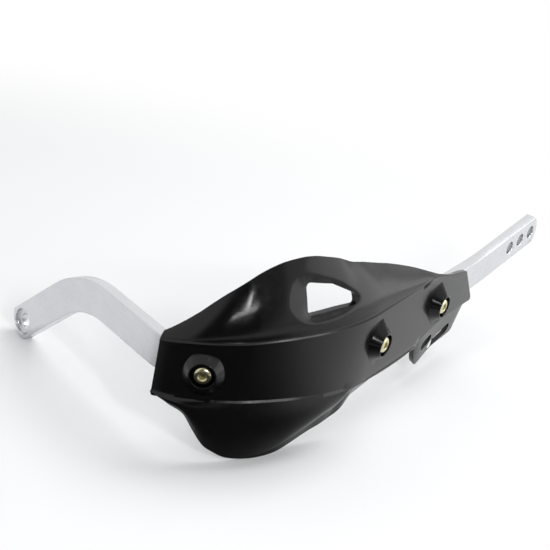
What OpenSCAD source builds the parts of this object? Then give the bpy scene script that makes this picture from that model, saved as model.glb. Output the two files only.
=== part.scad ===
/* [Bar] */
// Width of the flat bar
bar_w = 20; // [16:1:26]
// Thickness of the flat bar
bar_t = 7; // [5:0.5:8]
// Small bevel along the bar's four edges
bar_bevel = 0.6; // [0.3:0.1:1]
// Straight leg from the handlebar-end hole to the edgewise bend
end_leg = 43; // [35:1:60]
// Radius of the edgewise bend, to the middle of the bar
edge_bend_r = 63; // [45:1:80]
// Angle of the edgewise bend
edge_bend_angle = 43; // [30:1:50]
// How far the edgewise bend leans off the bar's flat face
edge_bend_lean = -6; // [-10:1:10]
// Straight leg between the edgewise bend and the corner bend
corner_leg = 47; // [35:1:60]
// Radius of the corner bend, to the middle of the bar
corner_r = 40; // [32:1:60]
// Angle of the corner bend
corner_angle = 78; // [65:1:88]
// Share of the corner bend that lies before the outer screw
corner_share = 0.6; // [0.5:0.02:0.7]
// Radius of the long gentle curve after the corner bend
sweep_r = 155; // [120:5:220]
// Angle of the long gentle curve
sweep_angle = 33; // [24:1:38]
// Straight run behind the shield
straight_len = 146; // [135:1:170]
// Radius of the last bend
last_bend_r = 122; // [90:1:160]
// Angle of the last bend
last_bend_angle = 14; // [6:1:18]
// How far the last bend leans outward from straight up
last_bend_lean = 24; // [0:2:40]
// Straight leg from the last bend to the last inner hole
inner_leg = 55; // [46:1:75]
// Distance from an end hole to the square corners of the bar's end
end_corner = 4.5; // [3:0.5:6]
// Radius of the arc across each end of the bar
end_arc_r = 14; // [13.5:0.5:20]

/* [Bar holes] */
// Bore for the handlebar-end bolt
end_bore_d = 8.5; // [6:0.5:9]
// Counterbore for the handlebar-end bolt's head
end_counterbore_d = 15; // [12:0.5:16]
// Depth of that counterbore
end_counterbore_depth = 2.5; // [1:0.5:4]
// Bore of the inner clamp holes
inner_bore_d = 8.5; // [6:0.5:9]
// Number of inner clamp holes
inner_bores = 3; // [1:1:3]
// Pitch of the inner clamp holes
inner_pitch = 14; // [11:0.5:16]

/* [Screws and washers] */
// Thread diameter of the shield screws
screw_d = 6; // [5:0.5:6]
// Head diameter of the shield screws
head_d = 10.5; // [9:0.25:11]
// Head height of the shield screws
head_h = 3.3; // [2.5:0.1:4]
// Size of the hexagon socket across its flats
socket_af = 4; // [3:0.5:4]
// Depth of the hexagon socket
socket_depth = 2; // [1.5:0.1:2.2]
// Radial clearance of the screw in its tapped hole
thread_clear = 0.05; // [0.03:0.01:0.1]
// Outer diameter of the black washers
washer_d = 12.4; // [11.5:0.1:12.5]
// Thickness of the black washers
washer_t = 1.2; // [0.8:0.1:1.6]
// Radial clearance of the screw in washer and shield
hole_clear = 0.2; // [0.1:0.05:0.4]
// Distance along the bar from the outer to the middle screw
middle_screw_at = 118; // [114:1:124]
// Distance along the bar from the outer to the inner screw
inner_screw_at = 199; // [190:1:205]

/* [Shield] */
// Wall of the moulded shield
shield_wall = 3; // [2:0.25:3.5]
// Running gap between the shield's band and the bar
bar_gap = 0.3; // [0.2:0.05:0.5]
// Height of the visor's highest point over the middle of the bar
visor_h = 60; // [52:0.5:70]
// Depth of the skirt's lowest point under the middle of the bar
skirt_h = 56.5; // [48:0.5:64]
// How far the visor leans back at its top edge
visor_lean = 15; // [8:1:20]
// How far the skirt tucks in at its bottom edge
skirt_tuck = 7; // [3:0.5:9]
// How far the wing leans in at its bottom edge
wing_tuck = 3; // [1:0.5:5]
// How far the skirt's turned-under edge sets back
under_in = 2; // [0:0.25:4]
// How far the skirt's belly swells out
skirt_belly = 2.5; // [0:0.5:5]
// Step from the band out to the visor's lower edge
visor_step = 2.2; // [1:0.2:3]
// Step from the band out to the skirt
skirt_step = 1.2; // [0.5:0.1:2]
// Distance from the outer screw to the shield's outer end
shield_outer = 23.5; // [20:0.5:26]
// Distance from the outer screw to the tab's upper corner
shield_inner = 239; // [234:1:243]
// How far the tab's lower corner reaches past its upper one
tab_slant = 20; // [10:1:24]

/* [Bosses] */
// Diameter of a screw boss at its foot
boss_foot_d = 22; // [19:0.5:24]
// Diameter of a screw boss at its top
boss_top_d = 14.6; // [14:0.2:16]
// Half the height of the ridge that points up and down from the middle and inner bosses
ridge_h = 16; // [12:0.5:17]
// Height of a screw boss over the band
boss_h = 5.6; // [4.5:0.1:7]
// Depth of the seat for washer and head
seat_depth = 4.6; // [4:0.1:5.2]
// Radial clearance of the washer in its seat
seat_clear = 0.3; // [0.2:0.05:0.5]

/* [Wing] */
// Distance from the outer screw to the small slot's outer end
small_slot_at = 206; // [204:1:208]
// Length of the small slot
small_slot_len = 12; // [9:1:13]
// Height of the small slot
small_slot_h = 7; // [4:0.5:8]
// Distance from the outer screw to the large slot's outer end
large_slot_at = 219; // [218:1:224]
// Length of the large slot
large_slot_len = 28; // [20:1:30]
// Height of the large slot
large_slot_h = 7.5; // [5:0.5:8]
// Depth of the small slot's middle under the middle of the bar
small_slot_z = 31.5; // [30:0.5:33]
// Depth of the large slot's middle under the middle of the bar
large_slot_z = 33.5; // [32:0.5:35]
// Tilt of both slots
slot_tilt = 14; // [0:1:20]

/* [Air intake] */
// Distance from the outer screw to the intake's blunt end
intake_at = 50; // [46:1:54]
// Height of the intake's lower edge over the middle of the bar
intake_z = 32.4; // [31:0.2:34]
// Length of the intake, to its pointed tip
intake_len = 36; // [28:1:40]
// Height of the intake's blunt end
intake_h = 15.6; // [12:0.2:17]
// Radius of the intake's corners
intake_round = 2.4; // [1.5:0.1:3]
// Depth of the dished border round the intake
dish_depth = 4; // [2:0.5:5]
// Radius of the dished border's corners
dish_round = 2.5; // [1.5:0.1:3]

/* [Hidden] */

// Stations along the bar, measured from the outer screw
corner_start = -corner_share * corner_r * corner_angle * PI / 180;
corner_end = corner_start + corner_r * corner_angle * PI / 180;
sweep_end = corner_end + sweep_r * sweep_angle * PI / 180;
straight_end = sweep_end + straight_len;
last_bend_end = straight_end + last_bend_r * last_bend_angle * PI / 180;
inner_hole_at = last_bend_end + inner_leg;
edge_bend_end = corner_start - corner_leg;
edge_bend_start = edge_bend_end - edge_bend_r * edge_bend_angle * PI / 180;
end_hole_at = edge_bend_start - end_leg;

function turn(r, s) = s / r * 180 / PI;

// Frames are [position, direction, outward, up]
function on_arc(p, heading, r, a) =
    [p.x + r * (sin(heading + a) - sin(heading)), p.y - r * (cos(heading + a) - cos(heading)), 0];
function level(p, heading) =
    [p, [cos(heading), sin(heading), 0], [sin(heading), -cos(heading), 0], [0, 0, 1]];
function ahead(f, s) = [f[0] + f[1] * s, f[1], f[2], f[3]];
function bent(f, r, a, lean) =
    let (to = f[3] * cos(lean) + f[2] * sin(lean), axis = f[2] * cos(lean) - f[3] * sin(lean),
         d = f[1] * cos(a) + to * sin(a), n = to * cos(a) - f[1] * sin(a))
    [f[0] + f[1] * r * sin(a) + to * r * (1 - cos(a)), d,
     n * sin(lean) + axis * cos(lean), n * cos(lean) - axis * sin(lean)];

corner_in = turn(corner_r, corner_start);
corner_out = turn(corner_r, corner_end);
start_frame = level(on_arc([0, 0, 0], 0, corner_r, corner_in), corner_in);
sweep_frame = level(on_arc([0, 0, 0], 0, corner_r, corner_out), corner_out);
run_frame = level(on_arc(sweep_frame[0], corner_out, sweep_r, sweep_angle), corner_out + sweep_angle);
edge_frame = ahead(start_frame, -corner_leg);
last_frame = ahead(run_frame, straight_len);

function frame(u) =
    u < edge_bend_start ? ahead(bent(edge_frame, -edge_bend_r, edge_bend_angle, edge_bend_lean), u - edge_bend_start) :
    u < edge_bend_end ? bent(edge_frame, -edge_bend_r, turn(edge_bend_r, edge_bend_end - u), edge_bend_lean) :
    u < corner_start ? ahead(start_frame, u - corner_start) :
    u < corner_end ? level(on_arc([0, 0, 0], 0, corner_r, turn(corner_r, u)), turn(corner_r, u)) :
    u < sweep_end ? level(on_arc(sweep_frame[0], corner_out, sweep_r, turn(sweep_r, u - corner_end)),
                          corner_out + turn(sweep_r, u - corner_end)) :
    u < straight_end ? ahead(run_frame, u - sweep_end) :
    u < last_bend_end ? bent(last_frame, last_bend_r, turn(last_bend_r, u - straight_end), last_bend_lean) :
    ahead(bent(last_frame, last_bend_r, last_bend_angle, last_bend_lean), u - last_bend_end);

function at(u, out, z) = let (f = frame(u)) f[0] + f[2] * out + f[3] * z;

// The handlebar runs from the end hole to the last clamp hole: +X along it, +Z up the bar's width
seat_point = at(end_hole_at, -bar_t / 2, 0);
reach = at(inner_hole_at, -bar_t / 2, 0) - seat_point;
module on_handlebar() { rotate([0, 0, -atan2(reach.y, reach.x)]) translate(-seat_point) children(); }

// Smooth curve through [u, value] points
function smooth(c, u, i = 0) =
    u <= c[0][0] ? c[0][1] :
    i >= len(c) - 1 ? c[len(c) - 1][1] :
    u > c[i + 1][0] ? smooth(c, u, i + 1) :
    let (a = c[i], b = c[i + 1], p = i > 0 ? c[i - 1] : a, q = i < len(c) - 2 ? c[i + 2] : b,
         h = b[0] - a[0], t = (u - a[0]) / h,
         m = (b[1] - p[1]) / (b[0] - p[0]) * h, n = (q[1] - a[1]) / (q[0] - a[0]) * h)
    a[1] * (1 + 2 * t) * (1 - t) * (1 - t) + b[1] * t * t * (3 - 2 * t)
    + m * t * (1 - t) * (1 - t) - n * t * t * (1 - t);

// A closed skin over rings of points, one ring for each station
function side_faces(rings, sides) = concat(
    [for (i = [0:rings - 2], j = [0:sides - 1]) let (a = i * sides + j, b = i * sides + (j + 1) % sides)
        [a, b, a + sides]],
    [for (i = [0:rings - 2], j = [0:sides - 1]) let (a = i * sides + j, b = i * sides + (j + 1) % sides)
        [b, b + sides, a + sides]]);
// Each end is closed by strips between the two halves of its ring
function end_faces(first, sides, flip) = [for (j = [0:sides / 2 - 2])
    let (a = first + j, b = first + j + 1, c = first + sides - 2 - j, d = first + sides - 1 - j)
    for (f = [[a, b, c], [a, c, d]]) flip ? [f[2], f[1], f[0]] : f];
function skin_faces(rings, sides) = concat(end_faces(0, sides, true), side_faces(rings, sides),
                                           end_faces((rings - 1) * sides, sides, false));

module place(u, out = 0, z = 0) {
    f = frame(u);
    p = at(u, out, z);
    multmatrix([[f[1].x, f[3].x, f[2].x, p.x], [f[1].y, f[3].y, f[2].y, p.y], [f[1].z, f[3].z, f[2].z, p.z]])
        children();
}

// The bar: one bevelled section swept through every leg and bend
bar_face = bar_t / 2;
bar_edge = bar_w / 2;
bar_section = [
    [bar_face, -bar_edge + bar_bevel], [bar_face, bar_edge - bar_bevel],
    [bar_face - bar_bevel, bar_edge], [-bar_face + bar_bevel, bar_edge],
    [-bar_face, bar_edge - bar_bevel], [-bar_face, -bar_edge + bar_bevel],
    [-bar_face + bar_bevel, -bar_edge], [bar_face - bar_bevel, -bar_edge]];
// Straight beyond the end corners, cut to the arc of the end
arc_rise = end_arc_r - sqrt(end_arc_r * end_arc_r - bar_edge * bar_edge);
end_reach = end_corner + arc_rise;
function steps(a, b, n) = [for (i = [0:n]) a + (b - a) * i / n];
bar_stations = concat(
    [end_hole_at - end_reach - 1], steps(edge_bend_start, edge_bend_end, 12), steps(corner_start, corner_end, 20),
    [for (i = [1:12]) corner_end + (sweep_end - corner_end) * i / 12],
    steps(straight_end, last_bend_end, 5), [inner_hole_at + end_reach + 1]);

module bar_end_cut(u, way) {
    place(u) rotate([0, 0, way > 0 ? 0 : 180]) difference() {
        translate([0, -bar_w, -bar_t]) cube([end_reach + 3, 2 * bar_w, 2 * bar_t]);
        translate([end_reach - end_arc_r, 0, -1.5 * bar_t]) cylinder(r = end_arc_r, h = 3 * bar_t, $fn = 96);
        translate([-1, -bar_w, -1.5 * bar_t]) cube([1 + end_corner, 2 * bar_w, 3 * bar_t]);
    }
}

module bar() {
    n = len(bar_stations);
    color([0.8, 0.81, 0.82]) difference() {
        polyhedron([for (u = bar_stations, q = bar_section) at(u, q[0], q[1])],
                   skin_faces(n, len(bar_section)), convexity = 8);
        bar_end_cut(end_hole_at, -1);
        bar_end_cut(inner_hole_at, 1);
        place(end_hole_at, -bar_t) cylinder(d = end_bore_d, h = 2 * bar_t, $fn = 64);
        place(end_hole_at, bar_face - end_counterbore_depth)
            cylinder(d = end_counterbore_d, h = bar_t, $fn = 96);
        for (i = [0:inner_bores - 1])
            place(inner_hole_at - i * inner_pitch, -bar_t) cylinder(d = inner_bore_d, h = 2 * bar_t, $fn = 64);
        for (u = screw_stations) place(u, -bar_t) cylinder(d = screw_d, h = 2 * bar_t, $fn = 48);
    }
}

// Where each screw crosses the bar, and the levels of what it clamps
screw_stations = [0, middle_screw_at, inner_screw_at];
band_in = bar_face + bar_gap;
band_out = band_in + shield_wall;
boss_top = band_out + boss_h;
seat_level = boss_top - seat_depth;
head_level = seat_level + washer_t;

module washer(u) {
    color([0.07, 0.07, 0.07]) place(u, seat_level) difference() {
        cylinder(d = washer_d, h = washer_t, $fn = 64);
        translate([0, 0, -1]) cylinder(r = screw_d / 2 + hole_clear, h = washer_t + 2, $fn = 48);
    }
}

// Domed button head over a straight rim, with its socket and shank
rim_h = head_h * 0.25;
crown_d = head_d * 0.5;
module screw(u) {
    dome_w = head_d / 2 - crown_d / 2;
    color([0.83, 0.74, 0.42]) place(u, head_level) difference() {
        union() {
            rotate_extrude($fn = 96) polygon(concat(
                [[0, 0], [head_d / 2, 0], [head_d / 2, rim_h]],
                [for (a = [15:15:90]) [crown_d / 2 + dome_w * cos(a), rim_h + (head_h - rim_h) * sin(a)]],
                [[0, head_h]]));
            translate([0, 0, -head_level - bar_face])
                cylinder(r = screw_d / 2 - thread_clear, h = head_level + bar_face + 0.01, $fn = 48);
        }
        translate([0, 0, head_h - socket_depth])
            cylinder(d = socket_af / cos(30), h = socket_depth + 1, $fn = 6);
    }
}

// Outlines of the shield, as heights over the middle of the bar at stations along it
top_edge = [[-shield_outer, 0.232], [-18, 0.322], [-13, 0.407], [-7.7, 0.498], [-2.3, 0.592], [3.4, 0.677],
            [9.5, 0.75], [16, 0.817], [23, 0.877], [30.4, 0.93], [38, 0.973], [49, 1], [58, 0.997],
            [68, 0.968], [79, 0.926], [91, 0.857], [105, 0.805], [119, 0.743], [134, 0.68], [149, 0.608],
            [165, 0.525], [185, 0.41], [192, 0.37], [214, 0.27], [231, 0.222], [shield_inner, 0.19]];
visor_line = [[-shield_outer, 8.5], [-14, 12], [-3.6, 15.2], [10, 18], [28, 19.5], [48, 20.4], [80, 20.6],
              [121, 21.3], [160, 21], [180, 21.5], [192, 20], [205, 16.5], [220, 12.5], [shield_inner, 8.5]];
skirt_line = [[-shield_outer, -20.5], [-14, -19.2], [-6, -17.6], [5, -15.4], [16, -14.6], [46, -16],
              [70, -18], [97, -21], [157, -23], [180, -21.5], [199, -17.5], [212, -14.8],
              [shield_inner, -14.8]];
// Share of the skirt's depth that its lower edge reaches
bottom_edge = [[-shield_outer, 0.397], [-15, 0.455], [-7, 0.51], [-1, 0.66], [6, 0.818], [12, 0.882],
               [18, 0.935], [24, 0.963], [32, 0.985], [42, 1], [52, 0.995], [60, 0.975], [69, 0.915],
               [78, 0.85], [86, 0.797], [95, 0.705], [102, 0.585], [108, 0.51], [114, 0.46], [122, 0.43],
               [180, 0.44], [188, 0.46], [193, 0.56], [197, 0.74], [202, 0.84], [208, 0.8], [215, 0.735],
               [230, 0.7], [236, 0.66], [shield_inner, 0.5]];
// Height of the strip that turns under along the skirt's lower edge
under_edge = [[20, 0.8], [32, 1.5], [42, 3.2], [52, 5], [60, 7.5], [69, 8.7], [78, 10], [86, 11], [95, 13.5],
              [102, 10], [108, 5.5], [116, 1.5], [125, 0.8]];
// Share of the lean and of the tuck that each station has
lean_share = [[-shield_outer, 0.15], [-7, 0.55], [15, 0.86], [32, 1], [100, 1], [134, 0.8], [165, 0.5],
              [190, 0.1], [shield_inner, 0]];
skirt_share = [[-shield_outer, 0.3], [-12, 0.5], [0, 0.9], [15, 1], [70, 1], [90, 0.5], [100, 0],
               [shield_inner, 0]];
wing_share = [[180, 0], [196, 1], [shield_inner, 1]];

top_cols = 12;
skirt_cols = 6;
function ease(t) = t * t * (3 - 2 * t);
function share(t) = max(0, min(1, t));

// The intake's corners, and the line of the dished border, set out from the blunt end's lower corner
intake_corner = [intake_at, intake_z];
intake_line = [for (p = [[intake_round, intake_h - intake_round], [intake_round, intake_round],
                         [intake_len - intake_round, intake_round + 0.2], [0.47 * intake_len, 0.63 * intake_h]])
    intake_corner + p];
dish_line = [for (p = [[-0.29, 0.36], [-0.244, 0.205], [-0.158, 0.04], [-0.04, -0.09], [0.13, -0.16],
                       [0.36, -0.154], [0.66, -0.077], [1.04, 0.154], [0.71, 0.65], [0.39, 0.95],
                       [0.167, 1.1], [-0.028, 1.147], [-0.139, 1.1], [-0.222, 0.974], [-0.278, 0.68]])
    intake_corner + [p.x * intake_len, p.y * intake_h]];
// Distance from a point to a rounded outline, below zero inside it
function gap(line, r, q) =
    let (n = len(line), ends = [for (i = [0:n - 1]) [line[i], line[(i + 1) % n]]],
         near = min([for (e = ends) let (d = e[1] - e[0]) norm(q - e[0] - d * share((q - e[0]) * d / (d * d)))]),
         left = min([for (e = ends) cross(e[1] - e[0], q - e[0])]))
    (left > 0 ? -near : near) - r;
function dish(q) =
    let (rim = -gap(dish_line, dish_round, q), hole = gap(intake_line, intake_round, q))
    rim <= 0 ? 0 : hole <= 0 ? dish_depth : dish_depth * ease(share(1.3 * rim / (rim + hole)));

// One section of the shield's outer face, from the bottom edge to the top, as [outward, up]
function outer_profile(u) =
    let (zt = smooth(top_edge, u) * visor_h, zv = min(smooth(visor_line, u), zt - 1.5),
         zs = smooth(skirt_line, u), zb = min(-smooth(bottom_edge, u) * skirt_h, zs - 2.5),
         under = smooth(under_edge, u), zc = min(zb + under, zs - 1.5),
         lean = smooth(lean_share, u) * visor_lean, k = smooth(skirt_share, u), w = smooth(wing_share, u),
         step = skirt_step * k - (shield_wall * 0.9) * w, up = smooth(lean_share, u) * visor_step,
         tuck = skirt_tuck * k + wing_tuck * w)
    concat(
        [[band_out + step - tuck - under_in * share(under / 8), zb]],
        [for (i = [0:skirt_cols]) let (t = 1 - i / skirt_cols)
            [band_out + step + skirt_belly * k * sin(180 * t) - skirt_tuck * k * t * t - wing_tuck * w * t,
             zs - 0.8 + (zc - zs + 0.8) * t]],
        [[band_out, zs], [band_out, zs / 2], [band_out, 0], [band_out, zv / 2], [band_out, zv - 0.6]],
        [for (i = [0:top_cols]) let (t = i / top_cols, z = zv + 0.4 + (zt - zv - 0.4) * t,
                                     flare = 0.4 + 0.6 * (1 - ease(share((z - zv) / 3.5))))
            [band_out + up * flare - lean * pow(t, 1.7) - dish([u, z]), z]]);

function rot90(v) = [v.y, -v.x];
function unit(v) = v / max(norm(v), 1e-6);
// The inner face lies one wall behind the outer one
function inner_profile(o) = [for (i = [0:len(o) - 1])
    let (a = o[max(i - 1, 0)], b = o[min(i + 1, len(o) - 1)], n = unit(rot90(b - a))) o[i] - n * shield_wall];

shield_stations = concat(steps(-shield_outer, 30, 14), [for (u = [33:2.8:95]) u],
                         [for (u = [100:7:180]) u], steps(184, shield_inner, 16));
// The tab's end slants: full length from the lower part of the band down, none at its top
function slide(u, z) =
    u + tab_slant * share((0.19 * visor_h - z) / (0.19 * visor_h + 12)) * ease(share((u - 190) / (shield_inner - 190)));

module shield_shell() {
    sections = [for (u = shield_stations) let (o = outer_profile(u), q = inner_profile(o), n = len(o))
        concat([for (j = [0:n - 1]) at(slide(u, o[j].y), o[j].x, o[j].y)],
               [for (j = [n - 1:-1:0]) at(slide(u, o[j].y), q[j].x, q[j].y)])];
    sides = len(sections[0]);
    polyhedron([for (s = sections, p = s) p], skin_faces(len(sections), sides), convexity = 12);
}

module intake_hole() {
    middle = intake_corner + [intake_len, intake_h] / 2;
    place(middle.x, -20, middle.y) linear_extrude(60) hull() {
        for (p = intake_line) translate(p - middle) circle(intake_round, $fn = 32);
    }
}

module wing_slot(u, length, h, z) {
    place(u + length / 2, -20, -z) rotate([0, 0, slot_tilt]) linear_extrude(60) hull() {
        for (side = [-1, 1]) translate([side * (length - h) / 2, 0]) circle(d = h, $fn = 32);
    }
}

// Cone round a screw; two of them run out above and below into a ridge
module boss_cone(u, ridged) {
    place(u, band_out - 0.5) hull() {
        cylinder(d1 = boss_foot_d, d2 = boss_top_d, h = boss_h + 0.5, $fn = 96);
        if (ridged) for (side = [-1, 1]) translate([0, side * ridge_h, 0]) cylinder(r = 0.4, h = 0.3, $fn = 12);
    }
}

module shield() {
    color([0.06, 0.06, 0.065]) difference() {
        union() {
            shield_shell();
            for (u = screw_stations) place(u, bar_face)
                cylinder(d = boss_top_d, h = band_out - bar_face, $fn = 96);
            for (i = [0:2]) boss_cone(screw_stations[i], i > 0);
        }
        intake_hole();
        wing_slot(small_slot_at, small_slot_len, small_slot_h, small_slot_z);
        wing_slot(large_slot_at, large_slot_len, large_slot_h, large_slot_z);
        for (u = screw_stations) {
            place(u, seat_level) cylinder(r = washer_d / 2 + seat_clear, h = boss_h + 1, $fn = 64);
            place(u, 0) cylinder(r = screw_d / 2 + hole_clear, h = boss_top, $fn = 48);
        }
    }
}

module screw_outer() { screw(screw_stations[0]); }
module screw_middle() { screw(screw_stations[1]); }
module screw_inner() { screw(screw_stations[2]); }
module washer_outer() { washer(screw_stations[0]); }
module washer_middle() { washer(screw_stations[1]); }
module washer_inner() { washer(screw_stations[2]); }

on_handlebar() bar();
on_handlebar() shield();
on_handlebar() screw_outer();
on_handlebar() screw_middle();
on_handlebar() screw_inner();
on_handlebar() washer_outer();
on_handlebar() washer_middle();
on_handlebar() washer_inner();
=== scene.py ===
import bisect
import math

import bmesh
import bpy
import numpy as np
from mathutils import Matrix, Vector


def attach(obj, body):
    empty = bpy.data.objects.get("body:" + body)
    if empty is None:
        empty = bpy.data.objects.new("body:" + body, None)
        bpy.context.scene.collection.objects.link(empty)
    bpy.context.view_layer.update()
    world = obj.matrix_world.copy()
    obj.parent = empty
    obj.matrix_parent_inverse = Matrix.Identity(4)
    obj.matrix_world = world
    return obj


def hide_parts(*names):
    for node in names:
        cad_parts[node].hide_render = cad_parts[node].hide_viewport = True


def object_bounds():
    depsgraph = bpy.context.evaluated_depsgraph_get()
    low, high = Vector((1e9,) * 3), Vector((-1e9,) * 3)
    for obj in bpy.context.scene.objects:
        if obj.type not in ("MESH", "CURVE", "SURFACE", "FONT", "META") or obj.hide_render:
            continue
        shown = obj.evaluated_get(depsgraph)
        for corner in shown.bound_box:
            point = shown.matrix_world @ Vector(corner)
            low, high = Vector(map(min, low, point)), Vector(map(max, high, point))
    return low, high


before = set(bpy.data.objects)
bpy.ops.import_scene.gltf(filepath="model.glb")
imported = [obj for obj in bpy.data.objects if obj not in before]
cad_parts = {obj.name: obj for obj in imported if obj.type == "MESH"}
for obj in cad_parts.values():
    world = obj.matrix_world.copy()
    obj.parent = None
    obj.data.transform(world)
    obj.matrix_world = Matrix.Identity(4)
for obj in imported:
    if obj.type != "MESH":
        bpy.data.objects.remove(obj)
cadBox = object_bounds()
print("frame loaded:", len(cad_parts), "nodes")
mm = 0.001


# materials: colours are sRGB hex, turned to linear here
def hexColour(text):
    channels = [int(text[i:i + 2], 16) / 255 for i in (1, 3, 5)]
    return [c / 12.92 if c <= 0.04045 else ((c + 0.055) / 1.055) ** 2.4 for c in channels] + [1]


# an input is set to a value, or linked where it is given another node's output or a list of them
def addNode(tree, kind, inputs=None, **settings):
    n = tree.nodes.new(kind)
    for name, value in settings.items():
        setattr(n, name, value)
    for key, value in (inputs or {}).items():
        given = value if isinstance(value, list) else [value]
        sources = [v for v in given if isinstance(v, bpy.types.NodeSocket)]
        for source in sources:
            tree.links.new(source, n.inputs[key])
        if not sources:
            n.inputs[key].default_value = value
    return n


def newMaterial(name):
    m = bpy.data.materials.new(name)
    m.use_nodes = True
    m.node_tree.nodes.clear()
    return m, m.node_tree


def finishMaterial(tree, shader):
    addNode(tree, "ShaderNodeOutputMaterial", {"Surface": shader})


# noise scales are in cells per metre, except for the bar's grain, which is in cells of its own map
def satinBar():
    # extruded 6061 flat bar, tumbled and clear anodised: pale, even, with faint draw lines along its length
    look = {"colour": "#d9dadc", "shade": "#cfd0d3", "rough": 0.27, "roughSpread": 0.04, "cloud": 80,
            "lineWidth": 0.35, "lineLength": 40, "lineDepth": 0.02, "lineStrength": 0.08}
    m, t = newMaterial("satinAnodisedAluminium")
    # the map holds mm along and across the bar, so a draw line is lineLength long and lineWidth wide
    along = addNode(t, "ShaderNodeUVMap", uv_map="alongBar")
    lines = addNode(t, "ShaderNodeMapping", {
        "Vector": along.outputs["UV"], "Scale": (1 / look["lineLength"], 1 / look["lineWidth"], 1)})
    grain = addNode(t, "ShaderNodeTexNoise", {
        "Vector": lines.outputs["Vector"], "Scale": 1, "Detail": 3, "Roughness": 0.6}, noise_dimensions="2D")
    # tumbling leaves soft cloudy patches about 12 mm across
    place = addNode(t, "ShaderNodeTexCoord")
    cloud = addNode(t, "ShaderNodeTexNoise", {
        "Vector": place.outputs["Object"], "Scale": look["cloud"], "Detail": 2})
    tint = addNode(t, "ShaderNodeMix", {
        "Factor": cloud.outputs["Fac"], "A": hexColour(look["colour"]), "B": hexColour(look["shade"])},
        data_type="RGBA")
    rough = addNode(t, "ShaderNodeMapRange", {
        "Value": grain.outputs["Fac"], "To Min": look["rough"] - look["roughSpread"] / 2,
        "To Max": look["rough"] + look["roughSpread"]})
    bump = addNode(t, "ShaderNodeBump", {
        "Height": grain.outputs["Fac"], "Strength": look["lineStrength"], "Distance": look["lineDepth"] * mm})
    s = addNode(t, "ShaderNodeBsdfPrincipled", {
        "Base Color": tint.outputs["Result"], "Roughness": rough.outputs["Result"],
        "Normal": bump.outputs["Normal"], "Metallic": 1})
    finishMaterial(t, s.outputs["BSDF"])
    return m


def mouldedPlastic():
    # black polypropylene, injection moulded in a polished tool: glossy with slow waves and fine handling marks
    look = {"colour": "#060607", "worn": "#0c0c0d", "rough": 0.13, "roughWorn": 0.24, "scuffFrom": 0.35,
            "scuffTo": 0.75, "flow": 40, "peel": 650, "scuff": 220, "peelStrength": 0.12, "peelDepth": 0.05,
            "ior": 1.49, "shine": 0.3}
    m, t = newMaterial("mouldedBlackPolypropylene")
    place = addNode(t, "ShaderNodeTexCoord")
    # flow marks 25 mm across and an orange peel of 1.5 mm, drawn coarser than real so that it shows
    flow = addNode(t, "ShaderNodeTexNoise", {
        "Vector": place.outputs["Object"], "Scale": look["flow"], "Detail": 3})
    peel = addNode(t, "ShaderNodeTexNoise", {
        "Vector": place.outputs["Object"], "Scale": look["peel"], "Detail": 1})
    scuff = addNode(t, "ShaderNodeTexNoise", {
        "Vector": place.outputs["Object"], "Scale": look["scuff"], "Detail": 6, "Roughness": 0.7})
    tint = addNode(t, "ShaderNodeMix", {
        "Factor": flow.outputs["Fac"], "A": hexColour(look["colour"]), "B": hexColour(look["worn"])},
        data_type="RGBA")
    rough = addNode(t, "ShaderNodeMapRange", {
        "Value": scuff.outputs["Fac"], "From Min": look["scuffFrom"], "From Max": look["scuffTo"],
        "To Min": look["rough"], "To Max": look["roughWorn"]})
    bump = addNode(t, "ShaderNodeBump", {
        "Height": peel.outputs["Fac"], "Strength": look["peelStrength"], "Distance": look["peelDepth"] * mm})
    s = addNode(t, "ShaderNodeBsdfPrincipled", {
        "Base Color": tint.outputs["Result"], "Roughness": rough.outputs["Result"],
        "Normal": bump.outputs["Normal"], "IOR": look["ior"], "Specular IOR Level": look["shine"]})
    finishMaterial(t, s.outputs["BSDF"])
    return m


# bare metal whose tint and roughness both follow one soft noise
def driftingMetal(name, look):
    m, t = newMaterial(name)
    place = addNode(t, "ShaderNodeTexCoord")
    drift = addNode(t, "ShaderNodeTexNoise", {
        "Vector": place.outputs["Object"], "Scale": look["drift"], "Detail": look["detail"]})
    tint = addNode(t, "ShaderNodeMix", {
        "Factor": drift.outputs["Fac"], "A": hexColour(look["colour"]), "B": hexColour(look["second"])},
        data_type="RGBA")
    rough = addNode(t, "ShaderNodeMapRange", {
        "Value": drift.outputs["Fac"], "To Min": look["rough"], "To Max": look["roughest"]})
    s = addNode(t, "ShaderNodeBsdfPrincipled", {
        "Base Color": tint.outputs["Result"], "Roughness": rough.outputs["Result"], "Metallic": 1})
    finishMaterial(t, s.outputs["BSDF"])
    return m


barMetal, plastic = satinBar(), mouldedPlastic()
# steel, zinc plated and yellow passivated: pale gold that drifts towards green across the plating
zinc = driftingMetal("yellowZincPlate", {
    "colour": "#ece6cc", "second": "#c2bc8a", "rough": 0.14, "roughest": 0.32, "drift": 260, "detail": 2})
# steel washer, black oxide with an oil film: dark, slightly brown, soft shine
oxide = driftingMetal("blackOxideSteel", {
    "colour": "#1d1c1c", "second": "#282523", "rough": 0.32, "roughest": 0.5, "drift": 500, "detail": 3})
print("materials ready")

# path of the bar's middle: legs and radii in mm, angles in degrees, a station u in mm from the outer screw
bend = {
    "thick": 7, "width": 20,
    "endLeg": 43, "edgeRadius": 63, "edgeAngle": 43, "edgeLean": -6,
    "cornerLeg": 47, "cornerRadius": 40, "cornerAngle": 78, "cornerShare": 0.6,
    "sweepRadius": 155, "sweepAngle": 33, "straight": 146,
    "lastRadius": 122, "lastAngle": 14, "lastLean": 24, "innerLeg": 55,
}


def arcDegrees(radius, length):
    return length / radius * 180 / math.pi


def arcPoint(p, heading, radius, angle):
    a, b = math.radians(heading), math.radians(heading + angle)
    return Vector((p.x + radius * (math.sin(b) - math.sin(a)), p.y - radius * (math.cos(b) - math.cos(a)), 0))


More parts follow.
